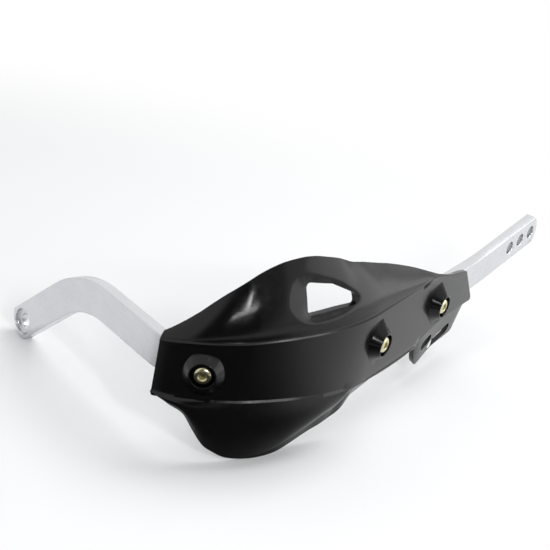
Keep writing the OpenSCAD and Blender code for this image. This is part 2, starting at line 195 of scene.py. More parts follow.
def levelFrame(p, heading):
    c, s = math.cos(math.radians(heading)), math.sin(math.radians(heading))
    return p, Vector((c, s, 0)), Vector((s, -c, 0)), Vector((0, 0, 1))


def aheadFrame(f, length):
    return f[0] + f[1] * length, f[1], f[2], f[3]


def bentFrame(f, radius, angle, lean):
    ca, sa = math.cos(math.radians(angle)), math.sin(math.radians(angle))
    cl, sl = math.cos(math.radians(lean)), math.sin(math.radians(lean))
    towards, axis = f[3] * cl + f[2] * sl, f[2] * cl - f[3] * sl
    ahead, side = f[1] * ca + towards * sa, towards * ca - f[1] * sa
    point = f[0] + f[1] * radius * sa + towards * radius * (1 - ca)
    return point, ahead, side * sl + axis * cl, side * cl - axis * sl


cornerStart = -bend["cornerShare"] * bend["cornerRadius"] * math.radians(bend["cornerAngle"])
cornerEnd = cornerStart + bend["cornerRadius"] * math.radians(bend["cornerAngle"])
sweepEnd = cornerEnd + bend["sweepRadius"] * math.radians(bend["sweepAngle"])
straightEnd = sweepEnd + bend["straight"]
lastEnd = straightEnd + bend["lastRadius"] * math.radians(bend["lastAngle"])
innerHole = lastEnd + bend["innerLeg"]
edgeEnd = cornerStart - bend["cornerLeg"]
edgeStart = edgeEnd - bend["edgeRadius"] * math.radians(bend["edgeAngle"])
endHole = edgeStart - bend["endLeg"]

headIn = arcDegrees(bend["cornerRadius"], cornerStart)
headOut = arcDegrees(bend["cornerRadius"], cornerEnd)
home = Vector((0, 0, 0))
startFrame = levelFrame(arcPoint(home, 0, bend["cornerRadius"], headIn), headIn)
sweepFrame = levelFrame(arcPoint(home, 0, bend["cornerRadius"], headOut), headOut)
runFrame = levelFrame(arcPoint(sweepFrame[0], headOut, bend["sweepRadius"], bend["sweepAngle"]),
                      headOut + bend["sweepAngle"])
edgeFrame = aheadFrame(startFrame, -bend["cornerLeg"])
lastFrame = aheadFrame(runFrame, bend["straight"])


def barFrame(u):
    if u < edgeStart:
        f = bentFrame(edgeFrame, -bend["edgeRadius"], bend["edgeAngle"], bend["edgeLean"])
        return aheadFrame(f, u - edgeStart)
    if u < edgeEnd:
        a = arcDegrees(bend["edgeRadius"], edgeEnd - u)
        return bentFrame(edgeFrame, -bend["edgeRadius"], a, bend["edgeLean"])
    if u < cornerStart:
        return aheadFrame(startFrame, u - cornerStart)
    if u < cornerEnd:
        a = arcDegrees(bend["cornerRadius"], u)
        return levelFrame(arcPoint(home, 0, bend["cornerRadius"], a), a)
    if u < sweepEnd:
        a = arcDegrees(bend["sweepRadius"], u - cornerEnd)
        return levelFrame(arcPoint(sweepFrame[0], headOut, bend["sweepRadius"], a), headOut + a)
    if u < straightEnd:
        return aheadFrame(runFrame, u - sweepEnd)
    if u < lastEnd:
        a = arcDegrees(bend["lastRadius"], u - straightEnd)
        return bentFrame(lastFrame, bend["lastRadius"], a, bend["lastLean"])
    f = bentFrame(lastFrame, bend["lastRadius"], bend["lastAngle"], bend["lastLean"])
    return aheadFrame(f, u - lastEnd)


def onBar(u, out, z):
    f = barFrame(u)
    return f[0] + f[2] * out + f[3] * z


seatPoint = onBar(endHole, -bend["thick"] / 2, 0)
reach = onBar(innerHole, -bend["thick"] / 2, 0) - seatPoint
levelTurn = Matrix.Rotation(-math.atan2(reach.y, reach.x), 4, "Z")
# from the path's own axes, in mm, to the shared frame, in metres
toRow = Matrix.Scale(mm, 4) @ levelTurn @ Matrix.Translation(-seatPoint)


# X along the bar, Y up its width, Z outward, in mm
def placed(u, out=0, z=0):
    f = barFrame(u)
    return Matrix.Translation(onBar(u, out, z)) @ Matrix((f[1], f[3], f[2])).transposed().to_4x4()


def evenSteps(a, b, n):
    return [a + (b - a) * i / n for i in range(n + 1)]


def meshObject(name, bm, material):
    mesh = bpy.data.meshes.new(name)
    bm.to_mesh(mesh)
    bm.free()
    o = bpy.data.objects.new(name, mesh)
    bpy.context.scene.collection.objects.link(o)
    mesh.materials.append(material)
    return o


# closed skin over rings of points; a ring's second half runs back along its first, so the ends close in strips
def skinned(rings):
    bm = bmesh.new()
    rows = [[bm.verts.new(p) for p in ring] for ring in rings]
    sides = len(rows[0])
    for a, b in zip(rows, rows[1:]):
        for j in range(sides):
            bm.faces.new((a[j], a[(j + 1) % sides], b[(j + 1) % sides], b[j]))
    for row, flip in ((rows[0], True), (rows[-1], False)):
        for j in range(sides // 2 - 1):
            quad = (row[j], row[j + 1], row[sides - 2 - j], row[sides - 1 - j])
            bm.faces.new(quad[::-1] if flip else quad)
    return bm


def applyModifiers(o):
    graph = bpy.context.evaluated_depsgraph_get()
    done = bpy.data.meshes.new_from_object(o.evaluated_get(graph), preserve_all_data_layers=True, depsgraph=graph)
    o.modifiers.clear()
    o.data = done
    return o


# all cutters as one mesh, taken away in one cut
def cutAway(o, cutters):
    bm = bmesh.new()
    for c in cutters:
        bm.from_mesh(c.data)
        bpy.data.objects.remove(c)
    tool = meshObject("cutters", bm, plastic)
    b = o.modifiers.new("cut", "BOOLEAN")
    b.object, b.solver, b.operation, b.use_self, b.use_hole_tolerant = tool, "EXACT", "DIFFERENCE", True, True
    applyModifiers(o)
    bpy.data.objects.remove(tool)


# a drill of the given depth, standing on the bar's axis from out outward
def drill(u, out, radius, depth, sides=96):
    bm = bmesh.new()
    bmesh.ops.create_cone(bm, cap_ends=True, segments=sides, radius1=radius, radius2=radius, depth=depth,
                          matrix=placed(u, out) @ Matrix.Translation((0, 0, depth / 2)))
    return meshObject("tool", bm, plastic)


def smoothed(o, angle):
    for p in o.data.polygons:
        p.use_smooth = True
    o.data.set_sharp_from_angle(angle=math.radians(angle))


bar = {"endCorner": 4.5, "endArc": 14, "boreEnd": 8.5, "counterbore": 15, "counterboreDeep": 2.5,
       "clampBore": 8.5, "clampPitch": 14, "clampHoles": 3, "bevel": 0.55, "tapped": 6,
       "columns": 16, "edgeSteps": 24, "cornerSteps": 40, "sweepSteps": 24, "lastSteps": 8,
       "flatAngle": 0.4, "bevelAngle": 40, "smoothAngle": 35,
       "drillFrom": -9, "drillDepth": 18, "counterboreDrill": 8, "tappedSides": 64,
       "mapEnd": 12, "mapSteps": 420, "mapEdgeShift": 40}
screwAt = [0, 118, 199]


def makeBar():
    t, w = bend["thick"] / 2, bend["width"] / 2
    rise = bar["endArc"] - math.sqrt(bar["endArc"] ** 2 - w ** 2)
    columns = evenSteps(-w, w, bar["columns"])
    stations = ([endHole - bar["endCorner"]] + evenSteps(edgeStart, edgeEnd, bar["edgeSteps"])
                + evenSteps(cornerStart, cornerEnd, bar["cornerSteps"])
                + evenSteps(cornerEnd, sweepEnd, bar["sweepSteps"])[1:]
                + evenSteps(straightEnd, lastEnd, bar["lastSteps"]) + [innerHole + bar["endCorner"]])

    # the first and the last station follow the end's arc across the width
    def arced(u, z):
        extra = math.sqrt(bar["endArc"] ** 2 - z ** 2) - bar["endArc"] + rise
        return u - extra if u == stations[0] else u + extra if u == stations[-1] else u

    rings = [[onBar(arced(u, z), t, z) for z in columns] + [onBar(arced(u, z), -t, z) for z in reversed(columns)]
             for u in stations]
    bm = skinned(rings)
    bmesh.ops.dissolve_limit(bm, angle_limit=math.radians(bar["flatAngle"]), verts=bm.verts, edges=bm.edges)
    bmesh.ops.recalc_face_normals(bm, faces=bm.faces)
    o = meshObject("flatBar", bm, barMetal)
    through = (bar["drillFrom"], bar["drillDepth"])
    clampAt = [innerHole - i * bar["clampPitch"] for i in range(bar["clampHoles"])]
    tools = [drill(endHole, through[0], bar["boreEnd"] / 2, through[1]),
             drill(endHole, t - bar["counterboreDeep"], bar["counterbore"] / 2, bar["counterboreDrill"])]
    tools += [drill(u, through[0], bar["clampBore"] / 2, through[1]) for u in clampAt]
    tools += [drill(u, through[0], bar["tapped"] / 2, through[1], bar["tappedSides"]) for u in screwAt]
    cutAway(o, tools)
    soft = o.modifiers.new("edges", "BEVEL")
    soft.width, soft.segments, soft.limit_method = bar["bevel"], 3, "ANGLE"
    soft.angle_limit = math.radians(bar["bevelAngle"])
    soft.use_clamp_overlap, soft.harden_normals = False, False
    applyModifiers(o)
    paintAlong(o)
    o.data.transform(toRow)
    smoothed(o, bar["smoothAngle"])
    return o


# map of mm along the bar and round its section, for the draw lines
def paintAlong(o):
    ends = (endHole - bar["mapEnd"], innerHole + bar["mapEnd"])
    guide = [(u, barFrame(u)) for u in evenSteps(*ends, bar["mapSteps"])]
    where = []
    for v in o.data.vertices:
        u, f = min(guide, key=lambda g: (g[1][0] - v.co).length_squared)
        d = v.co - f[0]
        where.append((u + d.dot(f[1]), d.dot(f[3]), d.dot(f[2])))
    uv = o.data.uv_layers.new(name="alongBar")
    for poly in o.data.polygons:
        flat = abs(poly.normal.z) < 0.5
        for k in poly.loop_indices:
            u, z, out = where[o.data.loops[k].vertex_index]
            uv.data[k].uv = (u, z if flat else out + bar["mapEdgeShift"])


barPiece = makeBar()
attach(barPiece, "root")
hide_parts("bar")
print("bar:", len(barPiece.data.polygons), "faces")

# lengths in mm, stations from the outer screw, heights from the bar's middle; least values keep rows in order
shell = {"wall": 3, "gap": 0.3, "visor": 60, "skirt": 56.5, "lean": 15, "leanPower": 1.7, "tuck": 7,
         "wingTuck": 3, "wingThinner": 0.9, "belly": 2.5, "under": 3.5, "underFull": 8, "visorStep": 2.2,
         "visorFoot": 0.4, "skirtStep": 1.2, "skirtFoot": 0.8, "bandTop": 0.6, "bead": 1.5, "beadEnd": 0.3,
         "leastVisor": 1.5, "leastSkirt": 2.5, "leastBelly": 1.5, "outer": 23.5, "inner": 239,
         "slant": 20, "slantFrom": 190, "slantFoot": 12, "smoothAngle": 38}
boss = {"foot": 22, "top": 14.6, "height": 5.6, "ridge": 16, "tall": 1.8, "low": 1.5, "seat": 4.6, "bore": 6.4,
        "washer": 12.4, "washerThick": 1.2, "clear": 0.3, "lip": 0.5, "seatLip": 0.35, "sunk": 0.5,
        "flangeIn": 0.6, "flangeAt": 1, "rootAt": 1.5, "spread": 1, "lipSteps": 5, "seatSteps": 4, "sides": 192,
        "drillFrom": -2, "drillOver": 0.2, "drillDepth": 30}
intake = {"at": 50, "z": 32.4, "length": 36, "high": 15.6, "deep": 3.2, "shallow": 0.5, "steep": 1.05,
          "dishRound": 2.5, "rimSoft": 1.6, "tipFrom": 66, "tipLength": 22,
          "windowAt": 51, "windowZ": 30.8, "windowLength": 36.6, "windowHigh": 16.2, "round": 3, "tipUp": 1.3,
          "topAlong": 0.5, "topUp": 0.66, "cornerSteps": 8,
          "gridU": 32, "gridZ": 20, "gridStep": 0.36, "cellsU": 180, "cellsZ": 110, "passes": 10}
# each slot's station, length, height and distance below the bar's middle
slots = {"small": (204.5, 14, 7.4, 33), "large": (218, 28.5, 7.8, 35.6), "tilt": 14, "taper": 0.999,
         "farSteps": 16, "nearSteps": 40}
# how the rows of a section are spread: shares of a part's height, mm above the fold, or a count
rowSpread = {"strip": (0, 0.25, 0.5, 0.75, 0.92, 0.98), "fold": (1, 0.99, 0.975), "skirt": 18, "band": 10,
             "foot": (0, 0.2, 0.4, 0.6, 0.8, 1, 1.3, 1.8, 2.4), "visor": 80}

bandIn = bend["thick"] / 2 + shell["gap"]
bandOut = bandIn + shell["wall"]
bossTop = bandOut + boss["height"]
seatLevel = bossTop - boss["seat"]
headLevel = seatLevel + boss["washerThick"]

first, last = -shell["outer"], shell["inner"]
# stations, closer where the intake and its dish are: from, to and how many steps
stationRuns = ((first, 34, 30), (34.5, 94, 119), (95.5, last, 76))

# outlines as (station, value): edges are shares of the visor's or skirt's height, lines and underEdge are in mm
topEdge = [(first, 0.232), (-18, 0.322), (-13, 0.407), (-7.7, 0.498), (-2.3, 0.592), (3.4, 0.677), (9.5, 0.75),
           (16, 0.817), (23, 0.877), (30.4, 0.93), (38, 0.973), (49, 1), (58, 0.997), (68, 0.968), (79, 0.926),
           (91, 0.857), (105, 0.805), (119, 0.743), (134, 0.68), (149, 0.608), (165, 0.525), (185, 0.41),
           (192, 0.37), (214, 0.27), (231, 0.222), (last, 0.19)]
visorLine = [(first, 8.5), (-14, 12), (-3.6, 15.2), (10, 18), (28, 19.5), (48, 20.4), (80, 20.6), (121, 21.3),
             (160, 21), (180, 21.5), (192, 20), (205, 16.5), (220, 12.5), (last, 8.5)]
skirtLine = [(first, -20.5), (-14, -19.2), (-6, -17.6), (5, -15.4), (16, -14.6), (46, -16), (70, -18), (97, -21),
             (157, -23), (180, -21.5), (199, -17.5), (212, -14.8), (last, -14.8)]
bottomEdge = [(first, 0.397), (-15, 0.455), (-7, 0.51), (-1, 0.66), (6, 0.818), (12, 0.882), (18, 0.935),
              (24, 0.963), (32, 0.985), (42, 1), (52, 0.995), (60, 0.975), (69, 0.915), (78, 0.85), (86, 0.797),
              (95, 0.705), (102, 0.585), (108, 0.51), (114, 0.46), (122, 0.43), (180, 0.44), (188, 0.46),
              (193, 0.56), (197, 0.74), (202, 0.84), (208, 0.8), (215, 0.735), (230, 0.7), (236, 0.66),
              (last, 0.5)]
underEdge = [(20, 0.8), (32, 1.5), (42, 3.2), (52, 5), (60, 7.5), (69, 8.7), (78, 10), (86, 11), (95, 13.5),
             (102, 10), (108, 5.5), (116, 1.5), (125, 0.8)]
leanShare = [(first, 0.15), (-7, 0.55), (15, 0.86), (32, 1), (100, 1), (134, 0.8), (165, 0.5), (190, 0.1),
             (last, 0)]
skirtShare = [(first, 0.3), (-12, 0.5), (0, 0.9), (15, 1), (70, 1), (90, 0.5), (100, 0), (last, 0)]
wingShare = [(180, 0), (196, 1), (last, 1)]

# corners of the intake and of its dished border, set out from the lower corner of the blunt end
intakeLine = [(intake["windowAt"] + x, intake["windowZ"] + z) for x, z in (
    (intake["round"], intake["windowHigh"] - intake["round"]), (intake["round"], intake["round"]),
    (intake["windowLength"] - intake["round"], intake["round"] + intake["tipUp"]),
    (intake["topAlong"] * intake["windowLength"], intake["topUp"] * intake["windowHigh"]))]
dishLine = [(intake["at"] + x * intake["length"], intake["z"] + z * intake["high"]) for x, z in (
    (-0.29, 0.36), (-0.244, 0.205), (-0.158, 0.04), (-0.04, -0.09), (0.13, -0.16), (0.36, -0.154), (0.66, -0.077),
    (1.06, 0.18), (0.73, 0.66), (0.39, 0.95), (0.167, 1.1), (-0.028, 1.147), (-0.139, 1.1), (-0.222, 0.974),
    (-0.278, 0.68))]


def smooth(t):
    return t * t * (3 - 2 * t)


# smooth curve through (station, value) points
def along(curve, u):
    if u <= curve[0][0]:
        return curve[0][1]
    if u >= curve[-1][0]:
        return curve[-1][1]
    i = bisect.bisect_left([c[0] for c in curve], u) - 1
    a, b = curve[i], curve[i + 1]
    p, q = curve[max(i - 1, 0)], curve[min(i + 2, len(curve) - 1)]
    h = b[0] - a[0]
    t = (u - a[0]) / h
    m, n = (b[1] - p[1]) / (b[0] - p[0]) * h, (q[1] - a[1]) / (q[0] - a[0]) * h
    return (a[1] * smooth(1 - t) + b[1] * smooth(t)
            + m * t * (1 - t) ** 2 - n * t * t * (1 - t))


def share(t):
    return max(0, min(1, t))


def ease(t):
    return smooth(share(t))


# distance from points to a rounded outline, below zero inside it
def outlineGap(line, radius, u, z):
    near, left = np.full(u.shape, 1e9), np.full(u.shape, 1e9)
    for a, b in zip(line, line[1:] + line[:1]):
        dx, dz = b[0] - a[0], b[1] - a[1]
        t = np.clip(((u - a[0]) * dx + (z - a[1]) * dz) / (dx * dx + dz * dz), 0, 1)
        near = np.minimum(near, np.hypot(u - a[0] - dx * t, z - a[1] - dz * t))
        left = np.minimum(left, dx * (z - a[1]) - dz * (u - a[0]))
    return np.where(left > 0, -near, near) - radius


# depth of the dish on a fine grid, evened out so that its faces run into each other as on a moulded piece
def dishGrid():
    u, z = np.meshgrid(intake["gridU"] + np.arange(intake["cellsU"]) * intake["gridStep"],
                       intake["gridZ"] + np.arange(intake["cellsZ"]) * intake["gridStep"], indexing="ij")
    rim = np.maximum(-outlineGap(dishLine, intake["dishRound"], u, z), 0)
    hole = np.maximum(outlineGap(intakeLine, intake["round"], u, z), 0)
    across = np.clip(intake["steep"] * rim / (rim + hole + 1e-6), 0, 1)
    soft = np.clip(rim / intake["rimSoft"], 0, 1)
    tip = np.clip((u - intake["tipFrom"]) / intake["tipLength"], 0, 1)
    deep = intake["deep"] * (1 - intake["shallow"] * smooth(tip))
    depth = deep * across * smooth(soft)
    for _ in range(intake["passes"]):
        for axis in (0, 1):
            depth = (np.roll(depth, 1, axis) + 2 * depth + np.roll(depth, -1, axis)) / 4
    return depth


dishDepths = dishGrid()


def dishDepth(u, z):
    x, y = (u - intake["gridU"]) / intake["gridStep"], (z - intake["gridZ"]) / intake["gridStep"]
    i, j = math.floor(x), math.floor(y)
    if not (0 <= i < dishDepths.shape[0] - 1 and 0 <= j < dishDepths.shape[1] - 1):
        return 0
    x, y = x - i, y - j
    d = dishDepths[i:i + 2, j:j + 2]
    return float((d[0, 0] * (1 - y) + d[0, 1] * y) * (1 - x) + (d[1, 0] * (1 - y) + d[1, 1] * y) * x)


# outer face of one section as (out, z), from the skirt's lower edge up to the visor's top
def outerProfile(u):
    zt = along(topEdge, u) * shell["visor"]
    zv = min(along(visorLine, u), zt - shell["leastVisor"])
    zs = along(skirtLine, u)
    zb = min(-along(bottomEdge, u) * shell["skirt"], zs - shell["leastSkirt"])
    under = along(underEdge, u)
    zc = min(zb + under, zs - shell["leastBelly"])
    leanHere = along(leanShare, u)
    k, w = along(skirtShare, u), along(wingShare, u)
    step = shell["skirtStep"] * k - shell["wall"] * shell["wingThinner"] * w
    tuck = shell["tuck"] * k + shell["wingTuck"] * w
    low = (bandOut + step - tuck - shell["under"] * share(under / shell["underFull"]), zb)
    crease = (bandOut + step - tuck, zc)
    points = [(low[0] + (crease[0] - low[0]) * t, low[1] + (crease[1] - low[1]) * t) for t in rowSpread["strip"]]
    # close rows on both sides of the fold keep it crisp
    skirtTop = zs - shell["skirtFoot"]
    for t in list(rowSpread["fold"]) + [1 - i / rowSpread["skirt"] for i in range(1, rowSpread["skirt"] + 1)]:
        bulge = shell["belly"] * k * math.sin(math.pi * t) - shell["tuck"] * k * t * t - shell["wingTuck"] * w * t
        points.append((bandOut + step + bulge, skirtTop + (zc - skirtTop) * t))
    points += [(bandOut, z) for z in evenSteps(zs, zv - shell["bandTop"], rowSpread["band"])]
    up = leanHere * shell["visorStep"]
    heights = [share(r / max(zt - zv, 1)) for r in rowSpread["foot"]]
    heights += evenSteps(heights[-1], 1, rowSpread["visor"])[1:]
    foot = zv + shell["visorFoot"]
    for t in heights:
        z = foot + (zt - foot) * t
        flare = shell["beadEnd"] + (1 - shell["beadEnd"]) * (1 - ease((z - zv) / shell["bead"]))
        points.append((bandOut + up * flare - shell["lean"] * leanHere * t ** shell["leanPower"], z))
    return points


def offsetProfile(o, amount):
    result = []
    for i, p in enumerate(o):
        a, b = o[max(i - 1, 0)], o[min(i + 1, len(o) - 1)]
        dx, dz = b[0] - a[0], b[1] - a[1]
        size = max(math.hypot(dx, dz), 1e-6)
        result.append((p[0] - dz / size * amount, p[1] + dx / size * amount))
    return result


# the tab's end slants: full length from the lower part of the band down, none at its top
def slide(u, z):
    top = topEdge[-1][1] * shell["visor"]
    lower = share((top - z) / (top + shell["slantFoot"]))
    return u + shell["slant"] * lower * ease((u - shell["slantFrom"]) / (last - shell["slantFrom"]))


def makeShell():
    rings = []
    stations = [u for run in stationRuns for u in evenSteps(*run)]
    for u in stations:
        outer = outerProfile(u)
        faces = (outer, offsetProfile(outer, shell["wall"]))
        # both faces are pushed in at the dish, so the wall goes with it
        outer, inner = [[(out - dishDepth(u, z), z) for out, z in face] for face in faces]
        ring = [onBar(slide(u, z), out, z) for out, z in outer]
        ring += [onBar(slide(u, outer[j][1]), *inner[j]) for j in reversed(range(len(outer)))]
        rings.append(ring)
    bm = skinned(rings)
    bmesh.ops.recalc_face_normals(bm, faces=bm.faces)
    return meshObject("shield", bm, plastic)


# a tool with a rounded outline, pushed through the wall
def outlineTool(u, z, points, tilt=0, depth=60, start=-20):
    bm = bmesh.new()
    here = placed(u, start, z) @ Matrix.Rotation(math.radians(tilt), 4, "Z")
    low = [bm.verts.new(here @ Vector((x, y, 0))) for x, y in points]
    high = [bm.verts.new(here @ Vector((x, y, depth))) for x, y in points]
    bm.faces.new(low[::-1])
    bm.faces.new(high)
    for i in range(len(points)):
        j = (i + 1) % len(points)
        bm.faces.new((low[i], low[j], high[j], high[i]))
    bmesh.ops.recalc_face_normals(bm, faces=bm.faces)
    return meshObject("tool", bm, plastic)


def capsule(x0, y0, r0, x1, y1, r1):
    way = math.atan2(y1 - y0, x1 - x0)
    side = math.acos((r0 - r1) / math.hypot(x1 - x0, y1 - y0))
    ends = ((x1, y1, r1, evenSteps(-side, side, slots["farSteps"])),
            (x0, y0, r0, evenSteps(side, 2 * math.pi - side, slots["nearSteps"])))
    return [(x + r * math.cos(way + a), y + r * math.sin(way + a)) for x, y, r, angles in ends for a in angles]


def slotTool(size):
    at, length, high, deep = size
    r = high / 2
    half = length / 2 - r
    return outlineTool(at + length / 2, -deep, capsule(-half, 0, r, half, 0, r * slots["taper"]), slots["tilt"])


# convex outline with rounded corners, the corners given anticlockwise
def roundedOutline(line, radius):
    ring = []
    for a, b, c in zip(line[-1:] + line[:-1], line, line[1:] + line[:1]):
        start = math.atan2(b[1] - a[1], b[0] - a[0]) - math.pi / 2
        turn = (math.atan2(c[1] - b[1], c[0] - b[0]) - math.pi / 2 - start) % (2 * math.pi)
        ring += [(b[0] + radius * math.cos(start + turn * k), b[1] + radius * math.sin(start + turn * k))
                 for k in evenSteps(0, 1, intake["cornerSteps"])]
    return ring


# ring of plastic round a screw: cone, rounded lip, seat and bore; a ridged one runs out to a point on each side
def makeBoss(u, ridged):
    rf, rt = boss["foot"] / 2, boss["top"] / 2
    seat, bore, back = boss["washer"] / 2 + boss["clear"], boss["bore"] / 2, bend["thick"] / 2
    lip, seatLip = boss["lip"], boss["seatLip"]
    slope = math.atan2(boss["height"] + boss["sunk"], rf - rt)
    profile = [(bore, back), (rt, back), (rt, bandOut - boss["rootAt"]),
               (rf - boss["flangeIn"], bandOut - boss["flangeAt"]), (rf, bandOut - boss["sunk"])]
    lipAt = rt - lip * math.tan(slope / 2)
    profile += [(lipAt + lip * math.sin(slope - a), bossTop - lip + lip * math.cos(slope - a))
                for a in evenSteps(0, slope, boss["lipSteps"])]
    profile += [(seat + seatLip - seatLip * math.sin(a), bossTop - seatLip + seatLip * math.cos(a))
                for a in evenSteps(0, math.pi / 2, boss["seatSteps"])]
    profile += [(seat, seatLevel), (bore, seatLevel)]
    bm = bmesh.new()
    columns = []
    for i in range(boss["sides"]):
        a = 2 * math.pi * i / boss["sides"]
        column = []
        for r, h in profile:
            reach, drop = r, 0
            atFoot = h < bossTop - lip and r > rf - boss["spread"]
            if atFoot and ridged:
                # tangent lines from the foot's circle to the point above and below
                part = math.acos(r / boss["ridge"])
                off = abs(a % math.pi - math.pi / 2)
                reach = r / math.cos(part - off) if off < part else r
            elif atFoot:
                # the outer screw's cone runs further down than up
                drop = boss["tall"] * math.sin(a) - boss["low"]
            column.append(bm.verts.new((reach * math.cos(a), reach * math.sin(a) + drop, h)))
        columns.append(column)
    for a, b in zip(columns, columns[1:] + columns[:1]):
        for j in range(len(profile)):
            k = (j + 1) % len(profile)
            bm.faces.new((a[j], b[j], b[k], a[k]))
    bmesh.ops.recalc_face_normals(bm, faces=bm.faces)
    bm.transform(placed(u))
    return meshObject("boss", bm, plastic)


def makeShield():
    o = makeShell()
    room = boss["washer"] / 2 + boss["clear"] + boss["drillOver"]
    tools = [drill(u, boss["drillFrom"], room, boss["drillDepth"]) for u in screwAt]
    tools += [slotTool(slots["small"]), slotTool(slots["large"])]
    middle = (intake["at"] + intake["length"] / 2, intake["z"] + intake["high"] / 2)
    window = [(x - middle[0], z - middle[1]) for x, z in roundedOutline(intakeLine, intake["round"])]
    tools.append(outlineTool(*middle, window))
    cutAway(o, tools)
    parts = [o] + [makeBoss(u, i > 0) for i, u in enumerate(screwAt)]
    joined = bmesh.new()
    for part in parts:
        joined.from_mesh(part.data)
        bpy.data.objects.remove(part)
    joined.transform(toRow)
    whole = meshObject("shield", joined, plastic)
    smoothed(whole, shell["smoothAngle"])
    return whole


shieldPiece = makeShield()
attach(shieldPiece, "root")
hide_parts("shield")
print("shield:", len(shieldPiece.data.polygons), "faces")

# screws and washers, each made once by nodes and set at the three bosses
screw = {"head": 10.5, "headHigh": 3.3, "rim": 0.85, "crown": 5.2, "socket": 4, "socketDeep": 2, "shank": 5.9,
         "mouthThick": 0.8, "mouthBelow": 0.45, "mouthInner": 0.88, "mouthOuter": 1.25, "smoothAngle": 32}
washer = {"bore": 6.4, "edge": 0.25, "smoothAngle": 40}


# three loose points, each with the turn that its boss faces
def bossPoints(name, level):
    mesh = bpy.data.meshes.new(name)
    rows = [toRow @ placed(u, level) for u in screwAt]
    mesh.from_pydata([m.translation for m in rows], [], [])
    turn = mesh.attributes.new("turn", "FLOAT_VECTOR", "POINT")
    for i, m in enumerate(rows):
        turn.data[i].vector = m.to_euler()
    o = bpy.data.objects.new(name, mesh)
    bpy.context.scene.collection.objects.link(o)
    return o


def newTree(name, inputs):
    tree = bpy.data.node_groups.new(name, "GeometryNodeTree")
    tree.interface.new_socket("Geometry", in_out="INPUT", socket_type="NodeSocketGeometry")
    for label, kind in inputs:
        tree.interface.new_socket(label, in_out="INPUT", socket_type=kind)
    tree.interface.new_socket("Geometry", in_out="OUTPUT", socket_type="NodeSocketGeometry")
    return tree, addNode(tree, "NodeGroupInput")


# places the made shape at each point, realises it and gives it its material
def endTree(tree, given, shape):
    turn = addNode(tree, "GeometryNodeInputNamedAttribute", {"Name": "turn"}, data_type="FLOAT_VECTOR")
    facing = addNode(tree, "FunctionNodeEulerToRotation", {"Euler": turn.outputs["Attribute"]})
    points = addNode(tree, "GeometryNodeMeshToPoints", {"Mesh": given.outputs["Geometry"]})
    spread = addNode(tree, "GeometryNodeInstanceOnPoints", {
        "Points": points.outputs["Points"], "Instance": shape, "Rotation": facing.outputs["Rotation"]})
    real = addNode(tree, "GeometryNodeRealizeInstances", {"Geometry": spread.outputs["Instances"]})
    coat = addNode(tree, "GeometryNodeSetMaterial", {
        "Geometry": real.outputs["Geometry"], "Material": given.outputs["Material"]})
    addNode(tree, "NodeGroupOutput", {"Geometry": coat.outputs["Geometry"]})


